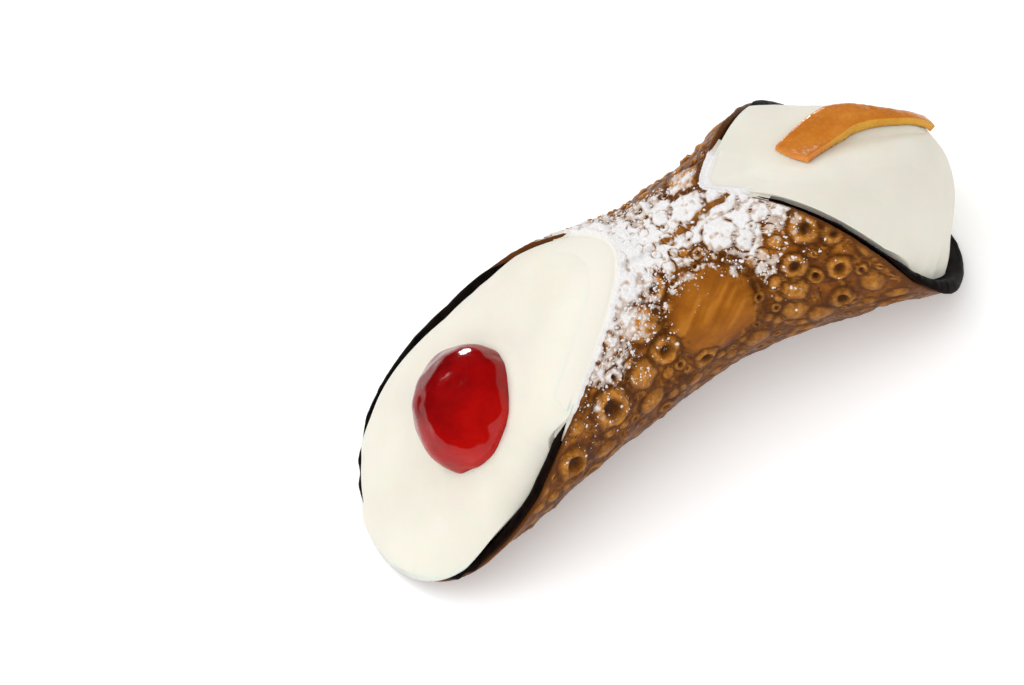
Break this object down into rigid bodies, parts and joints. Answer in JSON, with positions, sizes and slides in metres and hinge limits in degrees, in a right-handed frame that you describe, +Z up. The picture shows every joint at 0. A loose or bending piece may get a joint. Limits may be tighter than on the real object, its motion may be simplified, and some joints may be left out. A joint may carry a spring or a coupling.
{
  "type": "cannoli",
  "caption": "Blistered fried pastry tube with flared oblique mouths, filled with ricotta cream, with a candied cherry at one end and a strip of candied orange peel at the other.",
  "frame": {"origin": "centre of the bounding box at its underside, the plane it rests on", "axes": "+X along the tube from the cherry end to the orange peel end, +Z up"},
  "size_m": [0.1336, 0.0576, 0.0459],
  "materials": {
    "fried_crust": "fried dough, blistered, dusted with icing sugar",
    "dark_lining": "dark chocolate, satin",
    "ricotta_cream": "smooth ricotta cream, soft sheen",
    "candied_cherry": "candied fruit, wet gloss",
    "candied_peel": "candied citrus peel, sugary gloss"
  },
  "bodies": {
    "root": {"shell": "fried_crust", "lining": "dark_lining", "cream": "ricotta_cream", "cherry": "candied_cherry", "orange_peel": "candied_peel"}
  },
  "joints": []
}
